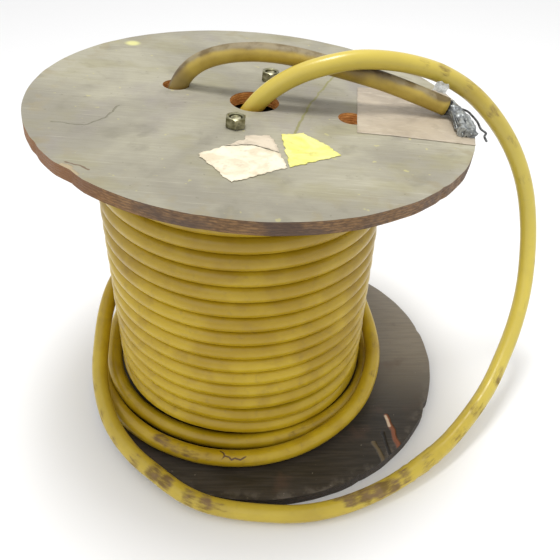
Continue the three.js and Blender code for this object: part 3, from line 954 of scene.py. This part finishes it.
# The cable's last two turns have come off the winding: direction, radius and height of points.
# The step leads from the end of the third layer out over the last turn's beginning.
step_out = [
    (25, 0.11535, 0.0284), (40, 0.1185, 0.0290), (55, 0.1245, 0.0314), (65, 0.1288, 0.0332),
]
loose_turn_route = [
    (75, 0.1312, 0.0345), (81, 0.1312, 0.0355), (95, 0.1312, 0.0385),
    (114, 0.1312, 0.044), (132, 0.1312, 0.0495), (146, 0.1312, 0.053),
    (158, 0.1312, 0.054), (168, 0.1312, 0.0522), (178, 0.1314, 0.0475),
    (188, 0.1316, 0.0395), (198, 0.1313, 0.0304), (207, 0.1286, 0.023),
    (215, 0.1258, 0.0194), (224, 0.1229, 0.018), (239.6, 0.1202, 0.0178),
    (255.8, 0.1196, 0.0178), (271.4, 0.1205, 0.0178), (289, 0.1225, 0.0178),
    (308, 0.1256, 0.0178), (322, 0.1284, 0.0178), (338, 0.1305, 0.0178),
    (360, 0.131, 0.0178), (390, 0.1312, 0.0178), (420, 0.1312, 0.0178),
    (450, 0.1312, 0.0178), (480, 0.132, 0.0178), (497, 0.1338, 0.0178),
]
last_turn_route = [
    (500, 0.1342, 0.0178), (502.6, 0.1346, 0.0178), (515, 0.1368, 0.0178),
    (530, 0.1398, 0.0178), (545, 0.1423, 0.0178), (560, 0.1432, 0.0178),
    (573, 0.142, 0.0178), (586, 0.1402, 0.0178), (600, 0.1392, 0.0178),
    (618, 0.1392, 0.0178), (635, 0.1398, 0.0179), (650, 0.1402, 0.0186),
    (662, 0.1406, 0.0208), (674, 0.1412, 0.0242), (684, 0.141, 0.027),
    (692, 0.1399, 0.0295), (702, 0.1384, 0.032), (711, 0.1372, 0.0345),
    (719, 0.1354, 0.0386), (730, 0.1323, 0.0485), (745, 0.1312, 0.060),
    (770, 0.1312, 0.073), (800, 0.1312, 0.087), (828, 0.1312, 0.0985),
    (848, 0.1312, 0.104), (863, 0.1312, 0.1064), (872, 0.1312, 0.1064),
    (879, 0.1312, 0.1049),
]


def free_lines():
    """The lines of the loose turn, the last turn and the outer end, each ending where the next begins."""
    last_points = [around_core(*point) for point in last_turn_route] + [Vector(outer_tail_route[0])]
    loose_points = [around_core(*point) for point in step_out + loose_turn_route] + last_points[:1]
    return (
        smooth_line(loose_points, FREE_LINE_STEP, after=last_points[1]),
        smooth_line(last_points, FREE_LINE_STEP, before=loose_points[-2], after=outer_tail_route[1]),
        smooth_line(outer_tail_route, FREE_LINE_STEP, before=last_points[-2]),
    )


def add_winding(jacket, loose_line, last_line, outer_line):
    first, second, third = LAYER_RADII
    drop_1 = layer_line(LAYER_1_START, LAYER_1_END, FIRST_LAYER_TOP, LOWEST_TURN, first)
    line_1 = smooth_line([*inner_link, *drop_1[:3]], 0.006)[:-1] + drop_1[2:]
    rise_turns = math.ceil((LAYER_1_END - LAYER_3_START) / 360 + OUTER_TURNS)
    rise_end = LAYER_3_START + 360 * rise_turns
    line_2 = layer_line(LAYER_1_END, rise_end, LOWEST_TURN, HIGHEST_TURN, second, first)
    line_3 = layer_line(
        LAYER_3_START,
        LAYER_3_END,
        HIGHEST_TURN,
        LOWEST_TURN + TURN_PITCH,
        third,
        second,
        lean=OUTER_LAYER_LEAN,
        sags=SAGS,
    )
    loose_turn = tube("cable_loose_turn", loose_line, jacket, CABLE_RADIUS, after=last_line[1])
    neighbours = {"before": loose_line[-2], "after": outer_line[1]}
    last_turn = tube("cable_last_turn", last_line, jacket, CABLE_RADIUS, **neighbours)
    soil_and_shadow(loose_turn, loose_turn_dirt)
    soil_and_shadow(last_turn, last_turn_dirt)
    pieces = {
        "winding_layer_1": tube("cable_layer_1", line_1, jacket, CABLE_RADIUS, 12),
        "winding_layer_2": tube("cable_layer_2", line_2, jacket, CABLE_RADIUS, 12),
        "winding_layer_3": tube("cable_layer_3", line_3, jacket, CABLE_RADIUS),
        "winding_loose_turn": loose_turn,
        "winding_last_turn": last_turn,
    }
    for node, piece in pieces.items():
        stand_for(piece, node)


# ---- Free cable ----

# The routes of the two free ends, the same points as in the CAD model.
inner_tail_route = [
    (-0.0806, -0.0002, 0.2562), (-0.077, 0.0106, 0.2654), (-0.0728, 0.0176, 0.277),
    (-0.0684, 0.021, 0.290), (-0.0633, 0.0219, 0.3027), (-0.056, 0.0214, 0.313),
    (-0.0464, 0.0204, 0.3208), (-0.0352, 0.0192, 0.326), (-0.0225, 0.0179, 0.3294),
    (-0.008, 0.0166, 0.3311), (0.008, 0.0154, 0.3312), (0.029, 0.0136, 0.3289),
    (0.060, 0.011, 0.3217), (0.101, 0.0075, 0.3105), (0.118, 0.006, 0.3047),
    (0.134, 0.0047, 0.2986), (0.146, 0.0037, 0.2938), (0.1565, 0.0028, 0.2896),
]
outer_tail_route = [
    (-0.1456, 0.0327, 0.1003), (-0.152, 0.014, 0.0923), (-0.157, -0.006, 0.079),
    (-0.159, -0.03, 0.0625), (-0.158, -0.056, 0.047), (-0.1515, -0.081, 0.035),
    (-0.1395, -0.106, 0.0255), (-0.1185, -0.132, 0.0193), (-0.092, -0.1555, 0.0179),
    (-0.064, -0.1745, 0.014), (-0.035, -0.184, 0.01), (0.025, -0.19, 0.0082),
    (0.055, -0.187, 0.0086), (0.084, -0.1785, 0.0097), (0.114, -0.165, 0.012),
    (0.142, -0.148, 0.0155), (0.169, -0.128, 0.0205), (0.194, -0.104, 0.0285),
    (0.217, -0.078, 0.04), (0.235, -0.052, 0.056), (0.25, -0.027, 0.076),
    (0.26, -0.004, 0.101), (0.2625, 0.013, 0.131), (0.259, 0.024, 0.164),
    (0.249, 0.029, 0.1995), (0.2325, 0.031, 0.2335), (0.2105, 0.03, 0.264),
    (0.1835, 0.026, 0.291), (0.154, 0.019, 0.3105), (0.126, 0.012, 0.3215),
    (0.101, 0.0055, 0.3275), (0.0795, 0.0005, 0.3295), (0.0585, -0.004, 0.3275),
    (0.038, -0.006, 0.322), (0.0215, -0.0065, 0.314), (0.0065, -0.006, 0.3025),
    (-0.009, -0.0055, 0.284), (-0.021, -0.007, 0.2615), (-0.0285, -0.01, 0.238),
    (-0.0315, -0.0125, 0.217),
]

# Dirt on the cable, and painted shadow on the inner end: x, y, z, reach and amount.
outer_tail_dirt = [
    (-0.166, -0.048, 0.054, 0.012, 0.5), (-0.161, -0.074, 0.041, 0.012, 0.6),
    (-0.152, -0.100, 0.030, 0.012, 0.6), (-0.136, -0.124, 0.022, 0.012, 0.6),
    (-0.114, -0.145, 0.022, 0.013, 0.7), (-0.093, -0.158, 0.023, 0.014, 0.9),
    (-0.082, -0.167, 0.023, 0.013, 0.9), (-0.061, -0.181, 0.019, 0.014, 0.8),
    (-0.047, -0.185, 0.017, 0.014, 0.8), (-0.032, -0.189, 0.016, 0.010, 0.6),
    (0.065, -0.178, 0.013, 0.012, 0.8), (0.077, -0.181, 0.017, 0.014, 0.9),
    (0.090, -0.177, 0.017, 0.014, 1.0), (0.104, -0.174, 0.017, 0.014, 1.0),
    (0.115, -0.170, 0.017, 0.014, 0.9), (0.127, -0.160, 0.020, 0.012, 0.8),
    (0.150, -0.146, 0.018, 0.018, 0.5), (0.183, -0.121, 0.022, 0.020, 0.6),
    (0.205, -0.100, 0.032, 0.020, 0.6), (0.229, -0.072, 0.048, 0.018, 0.6),
    (0.250, -0.040, 0.066, 0.016, 0.5), (0.262, -0.015, 0.092, 0.014, 0.5),
    (0.270, 0.010, 0.125, 0.012, 0.5), (0.245, 0.023, 0.209, 0.012, 0.45),
    (0.226, 0.025, 0.248, 0.014, 0.5), (0.205, 0.024, 0.277, 0.014, 0.6),
    (0.190, 0.022, 0.292, 0.012, 0.5), (0.178, 0.020, 0.302, 0.014, 0.6),
    (0.154, 0.015, 0.317, 0.012, 0.6), (0.136, 0.010, 0.324, 0.010, 0.5),
]
loose_turn_dirt = [
    (0.013, -0.123, 0.022, 0.016, 0.35), (0.036, -0.115, 0.024, 0.016, 0.5),
    (0.053, -0.104, 0.024, 0.014, 0.5), (0.066, -0.093, 0.024, 0.012, 0.45),
    (0.078, -0.077, 0.024, 0.010, 0.35), (-0.108, -0.085, 0.024, 0.012, 0.3),
]
last_turn_dirt = [
    (-0.093, -0.121, 0.025, 0.010, 0.8), (-0.087, -0.126, 0.024, 0.010, 0.8),
    (-0.077, -0.133, 0.023, 0.010, 0.8), (-0.068, -0.137, 0.023, 0.010, 0.8),
    (-0.059, -0.139, 0.023, 0.010, 0.7), (-0.047, -0.142, 0.023, 0.008, 0.6),
    (0.109, -0.055, 0.036, 0.008, 0.5), (0.119, -0.020, 0.041, 0.010, 0.6),
]
# The inner end's three middle spots, under the outer end where it crosses above, are painted shadow; the
# first and the last are dirt.
inner_tail_dirt_and_shadow = [
    (-0.063, 0.016, 0.306, 0.018, 0.7), (0.084, 0.009, 0.322, 0.016, 0.9),
    (0.101, 0.010, 0.317, 0.014, 0.8), (0.120, 0.012, 0.311, 0.012, 0.5),
    (0.1565, 0.003, 0.289, 0.008, 0.8),
]


def damaged(part, angle):
    """The outer tail's radius: a torn, swollen stretch where it lies in front on the right."""
    swollen = max(0.0, 1 - abs(part - 0.405) / 0.028)
    lumps = noise.noise(Vector((part * 260, 2 * math.cos(angle), 2 * math.sin(angle))))
    return 1 + swollen * (0.05 + 0.16 * lumps) + 0.006 * lumps


def add_tails(jacket, grubby, last_line, outer_line):
    outer = tube("cable_outer_end", outer_line, jacket, CABLE_RADIUS, 24, damaged, before=last_line[-2])
    soil_and_shadow(outer, outer_tail_dirt)
    stand_for(outer, "outer_tail")

    inner_line = smooth_line(inner_tail_route, FREE_LINE_STEP)
    inner = tube("cable_inner_end", inner_line, grubby, CABLE_RADIUS, 24)
    soil_and_shadow(inner, inner_tail_dirt_and_shadow)
    stand_for(inner, "inner_tail")
    return inner, inner_line


def add_cut_end(core, screen, wire, clear):
    """The frayed screen and fillers that stand out of the cut jacket, fanned over the rim."""
    pieces = []
    stub_points = [(0.1545, 0.003, 0.2904), (0.1575, 0.0027, 0.2892), (0.1592, 0.002, 0.2884)]
    stub = tube("core_stub", [Vector(point) for point in stub_points], core, CORE_RADIUS, 20)
    pieces.append((stub, None, "cable_screen"))

    # The bundle starts round inside the jacket and is flattened as it turns over the rim.
    spine = [
        (0.1585, 0.004, 0.0078), (0.1635, -0.003, 0.0068), (0.1668, -0.014, 0.0052),
        (0.1672, -0.025, 0.0042), (0.1662, -0.0365, 0.0038),
    ]

    def crumpled(part, angle):
        flat = 0.9 - 0.62 * min(1.0, part * 1.6)
        wide = 0.85 + 0.35 * part
        reach = math.sqrt((wide * math.cos(angle)) ** 2 + (flat * math.sin(angle)) ** 2)
        rough = noise.noise(Vector((part * 14, 3 * math.cos(angle), 3 * math.sin(angle))))
        return reach * (1 + 0.28 * rough)

    bundle = tube("frayed_screen", smooth_line(spine, 0.0012), screen, SCREEN_RADIUS, 32, crumpled)
    bundle.matrix_world = TOP_FACE
    pieces.append((bundle, "screen_bundle", "cable_screen"))

    ends = [
        (0.1600, -0.036, 0.0022), (0.1625, -0.0385, 0.0030), (0.1655, -0.037, 0.0050),
        (0.1690, -0.0385, 0.0040), (0.1715, -0.036, 0.0032), (0.1735, -0.030, 0.0036),
        (0.1590, -0.028, 0.0025), (0.1745, -0.020, 0.0040),
    ]
    for i, (x, y, z) in enumerate(ends):
        start = (0.1590 + 0.0004 * i, 0.0060 - 0.0011 * i, 0.0085 + 0.0006 * (i % 3))
        bulge = 0.003 if x > 0.166 else -0.001
        middle = ((start[0] + x) / 2 + bulge, (start[1] + y) / 2, 0.0085 - 0.0004 * i)
        strand_line = smooth_line([start, middle, (x, y, z)], 0.002)
        strand = tube(f"filler_strand_{i + 1}", strand_line, screen, STRAND_RADIUS, 6)
        strand.matrix_world = TOP_FACE
        pieces.append((strand, None, "cable_screen"))

    lead = [
        (0.160, 0.006, 0.0075), (0.168, 0.0075, 0.006), (0.1756, 0.005, 0.005),
        (0.1776, -0.003, 0.005), (0.1796, -0.014, 0.0045), (0.1796, -0.027, 0.004),
        (0.1822, -0.0325, 0.0035), (0.1798, -0.0375, 0.003), (0.1796, -0.045, 0.0025),
    ]
    drain = tube("bare_drain_wire", smooth_line(lead, 0.0015), wire, WIRE_RADIUS, 8)
    drain.matrix_world = TOP_FACE
    pieces.append((drain, "drain_wire", "tinned_wire"))

    outline = [
        (-0.0060, -0.0045), (-0.0035, -0.0038), (-0.0005, -0.0046), (0.0030, -0.0040),
        (0.0060, -0.0045), (0.0054, -0.0010), (0.0061, 0.0020), (0.0042, 0.0044),
        (0.0010, 0.0036), (-0.0020, 0.0046), (-0.0056, 0.0030),
    ]
    crumple = {"spacing": 0.0008, "wrinkle": 0.0012, "tear": 0.0003, "thick": 0.0001}
    scrap = wrinkled_sheet("tape_scrap", outline, clear, **crumple)
    turn = Matrix.Rotation(math.radians(15), 4, "Y") @ Matrix.Rotation(math.radians(90), 4, "X")
    scrap.matrix_world = TOP_FACE @ Matrix.Translation((0.149, 0.0034, 0.0238)) @ turn
    pieces.append((scrap, "tape_flag", "clear_tape"))

    for piece, node, slot in pieces:
        stand_for(piece, node)
    return [piece for piece, _, _ in pieces]


# ---- Labels and tape ----


def torn(outline, tear, step=0.0015):
    """The outline with points close together, moved sideways a little as a torn edge is."""
    edge = []
    for (x0, y0), (x1, y1) in zip(outline, outline[1:] + outline[:1]):
        length = math.hypot(x1 - x0, y1 - y0)
        count = max(1, round(length / step))
        for i in range(count):
            x = x0 + (x1 - x0) * i / count
            y = y0 + (y1 - y0) * i / count
            shift = tear * noise.noise(Vector((x * 260, y * 260, 1.0)))
            shift += tear * 0.6 * noise.noise(Vector((x * 900, y * 900, 4.0)))
            edge.append((x + shift * (y1 - y0) / length, y - shift * (x1 - x0) / length))
    return edge


def wrinkled_sheet(name, outline, material, spacing=0.003, wrinkle=0.0004, tear=0.0010, thick=0.0002):
    """A thin sheet cut to the outline, with torn edges and low wrinkles."""
    vertices, faces = patch(torn(outline, tear, min(0.0015, spacing)), spacing=spacing)
    raised = []
    for x, y, _ in vertices:
        broad = noise.noise(Vector((x * 70, y * 70, 2.0)))
        fine = noise.noise(Vector((x * 220, y * 160, 7.0)))
        raised.append((x, y, wrinkle * (0.7 * abs(broad) + 0.3 * fine)))
    piece = new_piece(name, raised, faces, material)
    body = piece.modifiers.new("thickness", "SOLIDIFY")
    body.thickness = thick
    body.offset = 1.0
    return piece


def add_labels(white, grey, yellow, tape):
    sheets = {
        "white_label": (
            white,
            "white_paper",
            [(-0.037, -0.098), (-0.020, -0.084), (0.0, -0.079), (0.020, -0.088), (0.025, -0.108),
             (-0.012, -0.134)],
        ),
        "grey_label": (
            grey,
            "grey_paper",
            [(-0.019, -0.0825), (-0.006, -0.0705), (-0.0054, -0.064), (0.013, -0.0606), (0.0186, -0.078),
             (0.0196, -0.0865), (0.0, -0.0775)],
        ),
        "yellow_label": (
            yellow,
            "yellow_paper",
            [(0.021, -0.0575), (0.0376, -0.0527), (0.0546, -0.0696), (0.064, -0.084), (0.0268, -0.1075)],
        ),
        "packing_tape": (
            tape,
            "beige_tape",
            [(0.0795, -0.0435), (0.112, -0.0445), (0.1705, -0.0495), (0.1765, -0.020), (0.177, 0.016),
             (0.167, 0.060), (0.140, 0.057), (0.089, 0.0485)],
        ),
    }
    for node, (material, slot, outline) in sheets.items():
        tear = 0.0003 if node == "packing_tape" else 0.0014
        piece = wrinkled_sheet(f"{node}_sheet", outline, material, tear=tear)
        piece.matrix_world = TOP_FACE @ Matrix.Translation((0, 0, GAP))
        stand_for(piece, node)


# ---- Surroundings ----


def add_floor():
    size = 5.0
    corners = [(-size, -size, 0.0), (size, -size, 0.0), (size, size, 0.0), (-size, size, 0.0)]
    floor = new_piece("floor", corners, [[0, 1, 2, 3]], pale_floor(), smooth=False)


def add_light(name, place, size, power):
    data = bpy.data.lights.new(name, "AREA")
    data.size = size
    data.energy = power
    light = bpy.data.objects.new(name, data)
    light.location = place
    aim = Vector((0, 0, 0.15)) - Vector(place)
    light.rotation_euler = aim.to_track_quat("-Z", "Y").to_euler()
    bpy.context.scene.collection.objects.link(light)


def add_lights():
    world = bpy.data.worlds.new("studio")
    world.use_nodes = True
    background = world.node_tree.nodes["Background"]
    background.inputs["Color"].default_value = (1.0, 1.0, 1.0, 1.0)
    background.inputs["Strength"].default_value = 0.90
    bpy.context.scene.world = world
    add_light("overhead", (0.05, 0.10, 1.5), 0.32, 10.0)
    add_light("front", (-0.7, -1.4, 1.3), 1.2, 2.5)
    bpy.context.scene.view_settings.view_transform = "Standard"


# ---- Scene ----

add_camera()

jacket_material = cable_jacket()
screen_material = cable_screen()
metal = zinc()

loose_turn_line, last_turn_line, outer_tail_line = free_lines()
inner_end, inner_path = add_tails(jacket_material, grubby_jacket(), last_turn_line, outer_tail_line)
cut_end = add_cut_end(cable_core(), screen_material, tinned_wire(), clear_tape())

add_flanges(worn_plywood(), dirty_plywood())
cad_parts["core_tube"].material_slots[0].material = paperboard()
for place, (x, y) in bolt_places().items():
    add_bolt(place, x, y, metal)
    add_nut(place, x, y, metal)
add_winding(jacket_material, loose_turn_line, last_turn_line, outer_tail_line)
add_labels(
    paper("white_paper", "e6dcc4", "d0c3a8", "a0937c"),
    paper("grey_paper", "cfc2ac", "b5a893", "8f8474"),
    paper("yellow_paper", "e6e18e", "d6d06c", "aca55c"),
    beige_tape(),
)
add_floor()
add_lights()
